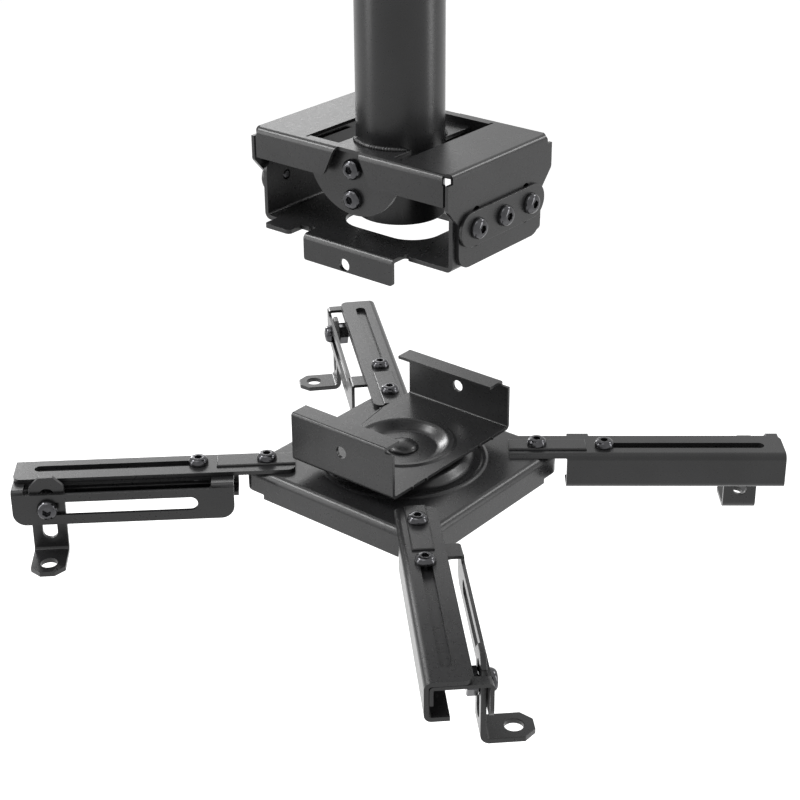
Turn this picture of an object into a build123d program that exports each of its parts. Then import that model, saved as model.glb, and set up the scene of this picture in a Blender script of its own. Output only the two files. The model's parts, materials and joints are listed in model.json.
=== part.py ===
from build123d import *
import math
import os

# Projector mount on a round pole: a tilting and rolling head, and a four-armed spider below it.
# Millimetres, +Z up. The origin is the centre of the pole's top end.
# The spider stands as it hangs when it is taken off: in line with the head and beneath it.

# Running fits and clearances
fit_gap = 0.05
slide_gap = 0.2
face_gap = 0.1

# Pole
pole_diameter = 50.0
pole_wall = 2.0
pole_above_shell = 80.0
pole_below_shell = 47.5

# Screws and nuts: M6 everywhere but on the legs, which have M8
small_shank = 6.0
small_head = 10.8
small_head_height = 3.4
small_nut_flats = 10.0
small_nut_height = 5.0
large_shank = 8.0
large_head = 12.8
large_head_height = 4.4
large_nut_flats = 13.0
large_nut_height = 6.5
socket_share = 0.36
screw_overhang = 1.3
slot_play = 0.6

# Top shell, folded from one sheet
shell_length = 140.0
shell_width = 94.0
shell_sheet = 2.0
shell_bend = 3.2
front_flange_depth = 17.5
side_flange_depth = 55.5
side_wide_depth = 19.3
side_slant_end = 30.0
side_narrow_width = 75.0
side_slant_round = 3.0
side_corner = 9.0
opening_length = 68.0
opening_strip = 8.25
notch_top_width = 15.0
notch_bottom_width = 34.0
notch_round = 4.0
corner_relief = 3.0
flange_end_gap = 3.4
tongue_width = 66.0
tongue_depth = 38.8
relief_width = 1.5

# Roll joint, about Y through the tongues
roll_pivot_depth = 29.2
roll_clamp_rise = 17.2
roll_range = 10.0
ear_sheet = 2.5
ear_width = 40.0
ear_top_depth = 4.0
ear_bottom_depth = 38.0
ear_round = 15.0

# Tilt joint, about X through the side flanges
tilt_pivot_depth = 34.0
tilt_screw_pitch = 24.0
tilt_range = 20.0
doubler_length = 76.0
doubler_height = 19.6
doubler_sheet = 2.0

# Cradle, a folded U inside the shell
cradle_sheet = 2.5
cradle_bend = 4.0
cradle_width = 81.0
cradle_floor_depth = 54.0
cradle_wall_top_depth = 20.0
cradle_wall_corner = 8.0
floor_hole_length = 62.0
floor_hole_width = 47.0
floor_hole_round = 18.0
lip_face_width = 100.0
lip_left = 30.0
lip_right = 34.0
lip_drop = 15.5
lip_bend = 3.2
lip_corner = 1.5
lip_relief = 2.0
tab_near = 39.3
tab_far = 58.5
tab_reach = 51.5
tab_corner = 2.5
lock_hole = 7.4
lock_drop = 11.5

# Release channel, open towards both ends, that hooks over the cradle's lips
channel_hang = 112.8
channel_length = 77.0
channel_width = 112.4
channel_height = 31.7
channel_sheet = 2.0
channel_bend = 3.0
channel_wall_drop = 3.0
channel_lip_length = 66.0
channel_lip_reach = 13.0
dish_outer = 33.0
dish_inner = 21.0
dish_depth = 4.0
dish_ridge = 0.9
dish_ridge_width = 2.0
nub_radius = 0.9
nub_places = (25.5, 38.5)

# Swivel rivet between the channel and the hub
rivet_shank = 10.0
rivet_head = 18.5
rivet_head_height = 4.2
rivet_tail = 16.0
rivet_tail_height = 3.0

# Hub plate, drawn from one sheet
hub_width = 137.0
hub_depth = 17.5
hub_sheet = 2.5
hub_edge = 4.5
hub_corner = 8.0
hub_corner_rise = 3.0
hub_corner_reach = 16.0
hub_boss_rise = 4.4
hub_boss_top = 36.0
hub_boss_foot = 43.0
bead_radius = 49.5
bead_width = 5.0
bead_height = 0.8
arm_pivot_inset = 10.5

# Arms: u runs outwards from the pivot screw, v to its left, w up from the rail's top face
rail_sheet = 2.5
rail_width = 25.0
rail_height = 23.0
rail_bend = 4.0
rail_inner_end = -17.0
rail_outer_end = 150.0
rail_wall_start = 17.8
rail_lip_reach = 13.0
rail_corner = 5.0
pad_end = 30.0
pad_width = 12.6
pad_rise = 1.2
slide_screw_place = 41.0
slide_travel = 94.0

inner_sheet = 2.0
inner_bend = 2.4
inner_start = 19.8
inner_lip_drop = 11.0
hump_depth = 0.4
hump_bend = 1.2
plate_face = 22.3
plate_bottom = 25.5
plate_corner = 8.0
window_start = 33.0
window_end = 143.0
window_depth = 5.6
window_corner = 2.0
leg_slot_depth = 15.0
leg_screw_place = 129.5
leg_shift = 84.0

# Legs: an L of thick strip, seen at its highest drop of zero
leg_sheet = 3.0
leg_width = 20.4
leg_gap = 0.3
leg_tip_rise = 4.5
leg_bottom = 46.5
leg_bend = 5.0
leg_chamfer = 6.0
foot_reach = 46.0
foot_hole = 10.0
foot_hole_place = 35.5
leg_slot_top = 7.0
leg_slot_bottom = 32.0

# How each arm stands: its corner, its turn from that corner's diagonal, and its leg's drop
arms = {
    "right": (45.0, -6.5, 8.0),
    "back": (135.0, 3.5, 8.0),
    "left": (225.0, -2.0, 0.0),
    "front": (315.0, -0.5, 0.0),
}

shell_top = -pole_above_shell
opening_width = shell_width - 2 * opening_strip
arm_pivot_place = hub_width / 2 - arm_pivot_inset
channel_floor = shell_top - cradle_floor_depth - channel_hang - channel_height + channel_sheet
boss_top = channel_floor - dish_depth - channel_sheet - face_gap
hub_top = boss_top - hub_boss_rise
rail_top = hub_top + face_gap + rail_sheet


def save(shape, name):
    """Write one piece to its STEP file."""
    shape.label = name
    export_step(shape, f"parts/{name}.step")


def prism(plane, sketch, depth):
    """Extrude a sketch on a plane by the same amount to both sides."""
    return extrude(plane * sketch, amount=depth / 2, both=True)


def channel_section(width, depth, sheet, bend):
    """Section of a folded channel that opens downwards, with its web's top face at y = 0."""
    outer = Pos(0, -depth / 2) * Rectangle(width, depth)
    outer = fillet(outer.vertices().group_by(Axis.Y)[-1], bend)
    inner_depth = depth - sheet
    inner = Pos(0, -sheet - inner_depth / 2) * Rectangle(width - 2 * sheet, inner_depth)
    inner = fillet(inner.vertices().group_by(Axis.Y)[-1], max(bend - sheet, 0.3))
    return outer - inner


def rounded_outline(points, radii):
    """Closed outline through the points, each corner rounded by its own radius."""
    face = make_face(Polyline(*points, close=True))
    for point, radius in zip(points, radii):
        if radius:
            corner = face.vertices().sort_by_distance((point[0], point[1], 0))[0]
            face = fillet(corner, radius)
    return face


def mirrored_rear(shape):
    """The same piece on the other side of the XZ plane."""
    return mirror(shape, about=Plane.XZ)


def button_screw(shank, head, head_height, length):
    """Button-head screw that points down, with its head's seat at z = 0."""
    rim = head_height * 0.2
    crown = head * 0.26
    corners = [(0, head_height), (0, -length), (shank / 2, -length), (shank / 2, 0), (head / 2, 0), (head / 2, rim)]
    profile = make_face(
        Polyline(*corners)
        + ThreePointArc((head / 2, rim), (head * 0.42, head_height * 0.72), (crown, head_height))
        + Line((crown, head_height), (0, head_height))
    )
    body = revolve(Plane.XZ * profile, axis=Axis.Z)
    socket_depth = head_height * 0.6
    socket = extrude(RegularPolygon(head * socket_share / 2, 6), amount=socket_depth)
    return body - Pos(0, 0, head_height - socket_depth) * socket


def hex_nut(bore, flats, height):
    """Hexagon nut below z = 0, with two flats across Y."""
    blank = RegularPolygon(flats / 2, 6, major_radius=False) - Circle(bore / 2 + fit_gap)
    return extrude(blank, amount=-height)


def make_pole():
    """Round tube that the head hangs on."""
    length = pole_above_shell + pole_below_shell
    ring = Circle(pole_diameter / 2) - Circle(pole_diameter / 2 - pole_wall)
    return extrude(ring, amount=-length)


def ear_face():
    """Y of the face by which the front ear meets the front tongue."""
    return -opening_width / 2 + slide_gap


def make_front_ear():
    """Bracket welded to the pole: a plate behind the tongue and a flange that hugs the pole."""
    pivot = shell_top - roll_pivot_depth
    top = shell_top - ear_top_depth
    bottom = shell_top - ear_bottom_depth
    half = ear_width / 2
    outline = rounded_outline(
        [(-half, bottom), (half, bottom), (half, top), (-half, top)],
        [ear_round, ear_round, 0, 0],
    )
    clamp_arc = CenterArc((0, pivot), roll_clamp_rise, 90 - roll_range, 2 * roll_range)
    outline -= Pos(0, pivot) * Circle(small_shank / 2 + fit_gap)
    outline -= SlotArc(clamp_arc, small_shank + slot_play)
    plate = extrude(Plane.XZ.offset(-ear_face()) * outline, amount=-ear_sheet)
    reach = -ear_face() - ear_sheet
    flange = Pos(0, -reach / 2, top - ear_sheet / 2) * Box(ear_width, reach, ear_sheet)
    flange -= Pos(0, 0, top) * Cylinder(pole_diameter / 2, 4 * ear_sheet)
    return plate + flange


def side_outline():
    """Outline of the shell seen along X: wide above, slanting in to the narrow lower part."""
    wide = shell_width / 2
    narrow = side_narrow_width / 2
    right = [
        (wide, 0),
        (wide, -side_wide_depth),
        (narrow, -side_slant_end),
        (narrow, -side_flange_depth),
    ]
    left = [(-y, z) for y, z in reversed(right)]
    radii = [0, side_slant_round, side_slant_round, side_corner]
    return rounded_outline(right + left, radii + radii[::-1])


def tilt_cuts():
    """Pivot hole and two arc slots of one side flange, in the YZ plane."""
    pivot = -tilt_pivot_depth
    cuts = Pos(0, pivot) * Circle(small_shank / 2 + fit_gap)
    for start in (0, 180):
        arc = CenterArc((0, pivot), tilt_screw_pitch, start - tilt_range, 2 * tilt_range)
        cuts += SlotArc(arc, small_shank + slot_play)
    return cuts


def front_tongue():
    """Round-ended tongue folded down from the front edge of the opening."""
    half = tongue_width / 2
    centre = tongue_depth - half
    outline = Pos(0, -centre / 2) * Rectangle(tongue_width, centre)
    outline += Pos(0, -centre) * Circle(half)
    outline &= Pos(0, -tongue_depth / 2) * Rectangle(2 * tongue_width, tongue_depth)
    for depth in (roll_pivot_depth, roll_pivot_depth - roll_clamp_rise):
        outline -= Pos(0, -depth) * Circle(small_shank / 2 + fit_gap)
    outer_face = -opening_width / 2 - shell_sheet
    tongue = extrude(Plane.XZ.offset(-outer_face) * outline, amount=-shell_sheet)
    crease = tongue.edges().filter_by(Axis.X).group_by(Axis.Z)[-1].sort_by(Axis.Y)[-1]
    return fillet(crease, shell_sheet * 0.9)


def front_notch():
    """Flared notch in the middle of the front flange and its bend."""
    top = notch_top_width / 2
    bottom = notch_bottom_width / 2
    foot = -front_flange_depth - 1
    outline = make_face(Polyline((-top, 1), (top, 1), (bottom, foot), (-bottom, foot), close=True))
    depth = shell_bend + flange_end_gap
    inner_face = -shell_width / 2 + shell_bend
    return extrude(Plane.XZ.offset(-inner_face) * outline, amount=depth)


def make_shell():
    """Top shell: side flanges, front and rear flanges, the opening and its two tongues."""
    sides = prism(Plane.XZ, channel_section(shell_length, side_flange_depth, shell_sheet, shell_bend), shell_width)
    sides &= prism(Plane.YZ, side_outline(), shell_length)
    sides -= prism(Plane.YZ, tilt_cuts(), shell_length + 2)
    ends_length = shell_length - 2 * flange_end_gap
    ends = prism(Plane.YZ, channel_section(shell_width, front_flange_depth, shell_sheet, shell_bend), ends_length)
    web = Pos(0, 0, -shell_sheet / 2) * Box(ends_length, shell_width - 2 * shell_bend, shell_sheet)
    for side in (-1, 1):
        edge = side * (shell_width / 2 - shell_bend / 2)
        sides -= Pos(0, edge, -shell_sheet / 2) * Box(ends_length, shell_bend, 2 * shell_sheet)
    shell = sides + ends + web
    opening = Box(opening_length, opening_width, 4 * shell_sheet)
    shell -= opening
    tongue = front_tongue()
    notch = front_notch()
    for piece in (tongue, mirrored_rear(tongue)):
        shell += piece
    for piece in (notch, mirrored_rear(notch)):
        shell -= piece
    slit = opening_length / 2 - relief_width / 2
    slit_reach = opening_width / 2 + shell_sheet / 2
    for x in (-1, 1):
        for y in (-1, 1):
            corner_x = x * (shell_length / 2 - flange_end_gap / 2)
            corner_y = y * (shell_width / 2 - flange_end_gap / 2)
            shell -= Pos(corner_x, corner_y, 0) * Cylinder(corner_relief, 2 * shell_bend + 4)
            shell -= Pos(x * slit, y * slit_reach, 0) * Box(relief_width, shell_sheet + 1, 4 * shell_sheet)
    notch_ends = shell.edges().filter_by(Axis.Y).filter_by(
        lambda edge: abs(edge.center().Z + front_flange_depth) < 0.01
        and abs(edge.center().X) < notch_bottom_width
    )
    shell = fillet(notch_ends, notch_round)
    return Pos(0, 0, shell_top) * shell


def roll_depths():
    """Z of the two roll screws: the pivot and the clamp above it."""
    pivot = shell_top - roll_pivot_depth
    return pivot, pivot + roll_clamp_rise


def make_roll_fasteners(side):
    """Pivot and clamp screw and their nuts, at the front for side = 1 and at the rear for -1."""
    seat = opening_width / 2 + shell_sheet
    nut_seat = opening_width / 2 - slide_gap - ear_sheet
    length = seat - nut_seat + small_nut_height + screw_overhang
    screw = button_screw(small_shank, small_head, small_head_height, length)
    nut = hex_nut(small_shank, small_nut_flats, small_nut_height)
    turn = Rot(90, 0, 0) if side > 0 else Rot(-90, 0, 0)
    pieces = []
    for depth in roll_depths():
        pieces.append(Pos(0, -side * seat, depth) * turn * screw)
        pieces.append(Pos(0, -side * nut_seat, depth) * turn * nut)
    return pieces


def make_cradle():
    """U-shaped cradle with a floor hole, two down-turned lips and two stop tabs."""
    inner_width = shell_length - 2 * shell_sheet - 2 * face_gap
    floor = shell_top - cradle_floor_depth
    depth = cradle_floor_depth + cradle_sheet - cradle_wall_top_depth
    section = channel_section(inner_width, depth, cradle_sheet, cradle_bend)
    body = Pos(0, 0, floor - cradle_sheet) * prism(Plane.XZ, mirror(section, about=Plane.XZ), cradle_width)
    corners = body.edges().filter_by(Axis.X).group_by(Axis.Z)[-1]
    body = fillet(corners, cradle_wall_corner)
    pivot = shell_top - tilt_pivot_depth
    for place in (-tilt_screw_pitch, 0, tilt_screw_pitch):
        body -= Pos(0, place, pivot) * Rot(0, 90, 0) * Cylinder(small_shank / 2 + fit_gap, inner_width + 2)
    plate_z = floor - cradle_sheet / 2
    hole = RectangleRounded(floor_hole_length, floor_hole_width, floor_hole_round)
    body -= prism(Plane.XY.offset(plate_z), hole, 4 * cradle_sheet)
    front = make_front_lip(floor) + make_front_tab(floor)
    body += front + mirrored_rear(front)
    for x in (-lip_left - lip_relief, lip_right + lip_relief):
        for y in (-cradle_width / 2, cradle_width / 2):
            body -= Pos(x, y, plate_z) * Cylinder(lip_relief, 4 * cradle_sheet)
    return body


def make_front_lip(floor):
    """Tongue of the cradle's floor that turns down into the front lip."""
    length = lip_left + lip_right
    centre = (lip_right - lip_left) / 2
    face = lip_face_width / 2
    start = cradle_width / 2 - cradle_sheet
    drop = lip_drop
    section = rounded_outline(
        [
            (start, floor),
            (face, floor),
            (face, floor - drop),
            (face - cradle_sheet, floor - drop),
            (face - cradle_sheet, floor - cradle_sheet),
            (start, floor - cradle_sheet),
        ],
        [0, lip_bend, 0, 0, lip_bend - cradle_sheet, 0],
    )
    lip = Pos(centre, 0, 0) * prism(Plane.YZ, mirror(section, about=Plane.YZ), length)
    lip = fillet(lip.edges().filter_by(Axis.Y).group_by(Axis.Z)[0], lip_corner)
    return lip - Pos(0, -face, floor - lock_drop) * Rot(90, 0, 0) * Cylinder(lock_hole / 2, 4 * cradle_sheet)


def make_front_tab(floor):
    """Stop tab that the released channel slides up to."""
    length = tab_far - tab_near
    start = cradle_width / 2 - cradle_sheet
    reach = tab_reach - start
    tab = Pos(-tab_near - length / 2, -start - reach / 2, floor - cradle_sheet / 2) * Box(length, reach, cradle_sheet)
    return fillet(tab.edges().filter_by(Axis.Z).group_by(Axis.Y)[0], tab_corner)


def make_doubler(side):
    """Stadium plate that spreads the three tilt screws' load on one side flange."""
    face = shell_length / 2 + face_gap
    outline = Pos(0, shell_top - tilt_pivot_depth) * SlotOverall(doubler_length, doubler_height)
    for place in (-tilt_screw_pitch, 0, tilt_screw_pitch):
        outline -= Pos(place, shell_top - tilt_pivot_depth) * Circle(small_shank / 2 + fit_gap)
    return extrude(Plane.YZ.offset(side * face) * outline, amount=side * doubler_sheet)


def make_tilt_screws(side):
    """Three screws of one side, threaded into the cradle's wall."""
    seat = shell_length / 2 + face_gap + doubler_sheet
    length = doubler_sheet + 2 * face_gap + shell_sheet + cradle_sheet
    screw = button_screw(small_shank, small_head, small_head_height, length)
    turn = Rot(0, 90 * side, 0)
    depth = shell_top - tilt_pivot_depth
    return [
        Pos(side * seat, place, depth) * turn * screw
        for place in (-tilt_screw_pitch, 0, tilt_screw_pitch)
    ]


def make_dish():
    """Round dished floor of the channel with a low ridge about it, spun from its section."""
    bore = rivet_shank / 2 + fit_gap
    floor = channel_floor - dish_depth
    ridge = channel_floor + dish_ridge
    ridge_outer = dish_outer - dish_ridge_width
    ridge_inner = ridge_outer - dish_ridge_width
    top = [
        (bore, floor),
        (dish_inner, floor),
        (ridge_inner, ridge),
        (ridge_outer, ridge),
        (dish_outer, channel_floor),
        (dish_outer + 1, channel_floor),
    ]
    bottom = [(radius, height - channel_sheet) for radius, height in reversed(top)]
    section = make_face(Polyline(*top, *bottom, close=True))
    return revolve(Plane.XZ * section, axis=Axis.Z)


def make_channel():
    """Release channel with inward lips on its walls and a dished floor."""
    under = channel_floor - channel_sheet
    wall_height = channel_height - channel_wall_drop
    plain = channel_section(channel_width, wall_height, channel_sheet, channel_bend)
    body = Pos(0, 0, under) * prism(Plane.YZ, mirror(plain, about=Plane.XZ), channel_length)
    hooked = channel_section(channel_width, channel_height, channel_sheet, channel_bend)
    walls = Pos(0, 0, under) * prism(Plane.YZ, mirror(hooked, about=Plane.XZ), channel_lip_length)
    top = under + channel_height
    for side in (-1, 1):
        centre = side * (channel_width / 2 - channel_lip_reach / 2)
        walls += Pos(0, centre, top - channel_sheet / 2) * Box(channel_lip_length, channel_lip_reach, channel_sheet)
    bends = walls.edges().filter_by(Axis.X).group_by(Axis.Z)[-1]
    outer_bends = ShapeList([bends.sort_by(Axis.Y)[0], bends.sort_by(Axis.Y)[-1]])
    body += fillet(outer_bends, channel_sheet * 0.9)
    hole_z = top - channel_sheet - lock_drop
    body -= Pos(0, 0, hole_z) * Rot(90, 0, 0) * Cylinder(lock_hole / 2, channel_width + 2)
    body -= Pos(0, 0, channel_floor) * Cylinder(dish_outer, 4 * channel_sheet)
    body += make_dish()
    for side in (-1, 1):
        for place in nub_places:
            for end in (-1, 1):
                body += Pos(end * channel_length / 2, side * place, channel_floor - channel_sheet / 2) * Cylinder(
                    nub_radius, channel_sheet
                )
    return body


def rivet_dome(diameter, height):
    """Low round dome that stands on z = 0."""
    blank = extrude(Circle(diameter / 2), amount=height)
    return fillet(blank.edges().group_by(Axis.Z)[-1], height * 0.9)


def make_rivet():
    """Domed swivel rivet, fixed in the channel, that the hub turns on."""
    seat = channel_floor - dish_depth
    tail_seat = boss_top - hub_sheet - face_gap
    shank = Pos(0, 0, tail_seat) * extrude(Circle(rivet_shank / 2), amount=seat - tail_seat)
    head = Pos(0, 0, seat) * rivet_dome(rivet_head, rivet_head_height)
    tail = Pos(0, 0, tail_seat) * Rot(180, 0, 0) * rivet_dome(rivet_tail, rivet_tail_height)
    return head + shank + tail


def hub_block(inset, depth):
    """Solid with the hub's outline, drawn in by an inset, standing on the rim's lower edge."""
    side = hub_width - 2 * inset
    block = extrude(RectangleRounded(side, side, hub_corner - inset), amount=depth)
    block = fillet(block.faces().sort_by(Axis.Z)[-1].edges(), hub_edge - inset)
    return Pos(0, 0, hub_top - hub_depth) * block


def hub_centre():
    """Raised boss and bead in the hub's middle, spun from its section."""
    inner = rivet_shank / 2 + fit_gap
    rim = bead_radius + bead_width
    top = [
        (inner, boss_top),
        (hub_boss_top, boss_top),
        (hub_boss_foot, hub_top),
        (bead_radius - bead_width / 2, hub_top),
        (bead_radius - bead_width / 5, hub_top + bead_height),
        (bead_radius + bead_width / 5, hub_top + bead_height),
        (bead_radius + bead_width / 2, hub_top),
        (rim, hub_top),
    ]
    bottom = [(radius, height - hub_sheet) for radius, height in reversed(top)]
    return revolve(Plane.XZ * make_face(Polyline(*top, *bottom, close=True)), axis=Axis.Z)


def make_hub():
    """Drawn hub plate: turned-down rim, shallower at its corners, with a boss and a bead."""
    hub = hub_block(0, hub_depth) - hub_block(hub_sheet, hub_depth - hub_sheet)
    corner = hub_width / 2 - hub_corner_reach / 2
    for x in (-corner, corner):
        for y in (-corner, corner):
            notch = Box(hub_corner_reach + 1, hub_corner_reach + 1, 2 * hub_corner_rise)
            hub -= Pos(x, y, hub_top - hub_depth) * notch
    hub -= Pos(0, 0, hub_top) * Cylinder(bead_radius + bead_width - 0.5, 4 * hub_sheet)
    hub += hub_centre()
    for angle, _, _ in arms.values():
        hub -= arm_frame(angle, 0) * Cylinder(small_shank / 2 + fit_gap, 4 * hub_depth)
    return hub


def arm_frame(angle, turn):
    """Place of an arm: its pivot on the hub's lobe, at the rail's top face, turned outwards."""
    reach = arm_pivot_place * math.sqrt(2)
    x = reach * math.cos(math.radians(angle))
    y = reach * math.sin(math.radians(angle))
    return Pos(x, y, rail_top) * Rot(0, 0, angle + turn)


def make_outer_rail():
    """Outer rail: slotted top, one side wall and its short bottom lip, with a raised pad."""
    half = rail_width / 2
    section = rounded_outline(
        [
            (half, 0),
            (-half, 0),
            (-half, -rail_height),
            (-half + rail_lip_reach, -rail_height),
            (-half + rail_lip_reach, -rail_height + rail_sheet),
            (-half + rail_sheet, -rail_height + rail_sheet),
            (-half + rail_sheet, -rail_sheet),
            (half, -rail_sheet),
        ],
        [0, rail_bend, rail_bend, 0, 0, rail_bend - rail_sheet, rail_bend - rail_sheet, 0],
    )
    length = rail_outer_end - rail_inner_end
    rail = extrude(Plane.YZ.offset(rail_inner_end) * section, amount=length)
    cut_length = rail_wall_start - rail_inner_end
    rail -= Pos(rail_inner_end + cut_length / 2, 0, -rail_sheet - rail_height / 2) * Box(
        cut_length, 2 * rail_width, rail_height
    )
    ends = rail.edges().filter_by(Axis.Z).filter_by(lambda edge: abs(edge.length - rail_sheet) < 0.01)
    open_corners = ends.filter_by(lambda edge: edge.center().Y > half - 0.01)
    rail = fillet(open_corners, rail_corner)
    pad_length = pad_end - rail_inner_end
    pad = Pos(rail_inner_end + pad_length / 2, 0, pad_rise / 2) * Box(pad_length, pad_width, pad_rise)
    rim = pad.edges().group_by(Axis.Z)[-1].filter_by(lambda edge: edge.center().X > rail_inner_end + 0.1)
    rail += fillet(rim, pad_rise * 0.7)
    groove = pad_width - 2 * rail_sheet * 0.7
    rail -= Pos(rail_inner_end + pad_length / 2 - rail_sheet, 0, -rail_sheet) * Box(
        pad_length, groove, 2 * pad_rise
    )
    rail -= Cylinder(small_shank / 2 + fit_gap, 10 * rail_sheet)
    slot = Pos(slide_screw_place + slide_travel / 2, 0) * SlotCenterToCenter(slide_travel, small_shank + slot_play)
    return rail - prism(Plane.XY, slot, 4 * rail_sheet)


def make_inner_rail():
    """Inner rail: lip, web and hump in the outer rail, and the slotted side plate."""
    web_top = -rail_sheet - slide_gap
    inner_face = -rail_width / 2 + rail_sheet + slide_gap + face_gap
    riser = rail_width / 2 + slide_gap + face_gap
    sheet = inner_sheet
    section = rounded_outline(
        [
            (inner_face, web_top - inner_lip_drop),
            (inner_face, web_top),
            (riser, web_top),
            (riser, -hump_depth),
            (plate_face, -hump_depth),
            (plate_face, -plate_bottom),
            (plate_face - sheet, -plate_bottom),
            (plate_face - sheet, -hump_depth - sheet),
            (riser + sheet, -hump_depth - sheet),
            (riser + sheet, web_top - sheet),
            (inner_face + sheet, web_top - sheet),
            (inner_face + sheet, web_top - inner_lip_drop),
        ],
        [0, inner_bend, 0, hump_bend, inner_bend, 0, 0, inner_bend - sheet, 0, hump_bend, inner_bend - sheet, 0],
    )
    length = rail_outer_end - inner_start
    rail = extrude(Plane.YZ.offset(inner_start) * section, amount=length)
    window_length = window_end - window_start
    window_middle = (window_start + window_end) / 2
    window = Pos(window_middle, riser + rail_width / 2, 0) * Box(window_length, rail_width, 2 * window_depth)
    lower = window.edges().filter_by(Axis.Y).group_by(Axis.Z)[0]
    rail -= fillet(lower, window_corner)
    slot_middle = leg_screw_place - leg_shift / 2
    slot = Pos(slot_middle, -leg_slot_depth) * SlotCenterToCenter(leg_shift, large_shank + slot_play)
    rail -= extrude(Plane.XZ.offset(-plate_face - 1) * slot, amount=4 * sheet)
    corners = rail.edges().filter_by(Axis.Y).group_by(Axis.Z)[0]
    rail = fillet(corners, plate_corner)
    return rail - Pos(slide_screw_place, 0, 0) * Cylinder(small_shank / 2 + fit_gap, 6 * rail_sheet)


def make_slide_fasteners():
    """Screw and nut that clamp the inner rail under the outer rail's slot."""
    nut_seat = -rail_sheet - slide_gap - inner_sheet
    length = -nut_seat + small_nut_height + screw_overhang
    screw = Pos(slide_screw_place, 0, 0) * button_screw(small_shank, small_head, small_head_height, length)
    nut = Pos(slide_screw_place, 0, nut_seat) * hex_nut(small_shank, small_nut_flats, small_nut_height)
    return screw, nut


def make_pivot_fasteners():
    """Screw and nut that hold an arm's pad on the hub's lobe."""
    nut_seat = -rail_sheet - face_gap - hub_sheet
    length = pad_rise - nut_seat + small_nut_height + screw_overhang
    screw = Pos(0, 0, pad_rise) * button_screw(small_shank, small_head, small_head_height, length)
    nut = Pos(0, 0, nut_seat) * hex_nut(small_shank, small_nut_flats, small_nut_height)
    return screw, nut


def leg_faces():
    """V of the leg's outer and inner face."""
    outer = plate_face - inner_sheet - leg_gap
    return outer, outer - leg_sheet


def make_leg():
    """Leg strip with its height slot, octagonal tip and turned-out foot."""
    outer, inner = leg_faces()
    bottom = -leg_bottom
    section = rounded_outline(
        [
            (outer, leg_tip_rise),
            (inner, leg_tip_rise),
            (inner, bottom),
            (foot_reach, bottom),
            (foot_reach, bottom + leg_sheet),
            (outer, bottom + leg_sheet),
        ],
        [0, 0, leg_bend, 0, 0, leg_bend - leg_sheet],
    )
    leg = Pos(leg_screw_place, 0, 0) * prism(Plane.YZ, section, leg_width)
    tip = leg.edges().filter_by(Axis.Y).group_by(Axis.Z)[-1]
    leg = chamfer(tip, leg_chamfer)
    toe = leg.edges().filter_by(Axis.Z).group_by(Axis.Y)[-1]
    leg = chamfer(toe, leg_chamfer)
    leg -= Pos(leg_screw_place, foot_hole_place, bottom) * Cylinder(foot_hole / 2, 4 * leg_sheet)
    slot_length = leg_slot_bottom - leg_slot_top
    middle = -(leg_slot_bottom + leg_slot_top) / 2
    slot = Pos(leg_screw_place, middle) * Rot(0, 0, 90) * SlotCenterToCenter(slot_length, large_shank + slot_play)
    return leg - extrude(Plane.XZ.offset(-outer - 1) * slot, amount=leg_sheet + 2)


def make_leg_fasteners():
    """Screw and nut that clamp the leg to the slotted side plate."""
    inner = leg_faces()[1]
    length = plate_face - inner + large_nut_height + screw_overhang
    turn = Rot(-90, 0, 0)
    screw = Pos(leg_screw_place, plate_face, -leg_slot_depth) * turn * button_screw(
        large_shank, large_head, large_head_height, length
    )
    nut = Pos(leg_screw_place, inner, -leg_slot_depth) * turn * hex_nut(
        large_shank, large_nut_flats, large_nut_height
    )
    return screw, nut


def save_head():
    """Write the pole, the shell, the cradle and what fastens them."""
    save(make_pole(), "pole")
    ear = make_front_ear()
    save(ear, "pole_ear_front")
    save(mirrored_rear(ear), "pole_ear_rear")
    save(make_shell(), "top_shell")
    for side, name in ((1, "front"), (-1, "rear")):
        pivot_screw, pivot_nut, clamp_screw, clamp_nut = make_roll_fasteners(side)
        save(pivot_screw, f"roll_pivot_screw_{name}")
        save(pivot_nut, f"roll_pivot_nut_{name}")
        save(clamp_screw, f"roll_clamp_screw_{name}")
        save(clamp_nut, f"roll_clamp_nut_{name}")
    save(make_cradle(), "cradle")
    for side, name in ((1, "right"), (-1, "left")):
        save(make_doubler(side), f"tilt_doubler_{name}")
        for screw, place in zip(make_tilt_screws(side), ("front", "middle", "rear")):
            save(screw, f"tilt_screw_{name}_{place}")


def save_spider():
    """Write the release channel, the hub and the four arms."""
    save(make_channel(), "release_channel")
    save(make_rivet(), "swivel_rivet")
    save(make_hub(), "hub_plate")
    outer_rail = make_outer_rail()
    inner_rail = make_inner_rail()
    leg = make_leg()
    for name, (angle, turn, drop) in arms.items():
        place = arm_frame(angle, turn)
        save(place * outer_rail, f"{name}_outer_rail")
        save(place * inner_rail, f"{name}_inner_rail")
        save(place * Pos(0, 0, -drop) * leg, f"{name}_leg")
        for kind, pair in (
            ("pivot", make_pivot_fasteners()),
            ("slide", make_slide_fasteners()),
            ("leg", make_leg_fasteners()),
        ):
            save(place * pair[0], f"{name}_{kind}_screw")
            save(place * pair[1], f"{name}_{kind}_nut")


os.makedirs("parts", exist_ok=True)
save_head()
save_spider()
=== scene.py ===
"""Looks of a projector mount: powder-coated folded sheet metal and black zinc fasteners."""

import json
import logging
import math
from dataclasses import dataclass, field
from enum import Enum
from typing import Iterable

import bmesh
import bpy
from mathutils import Matrix, Vector

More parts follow.
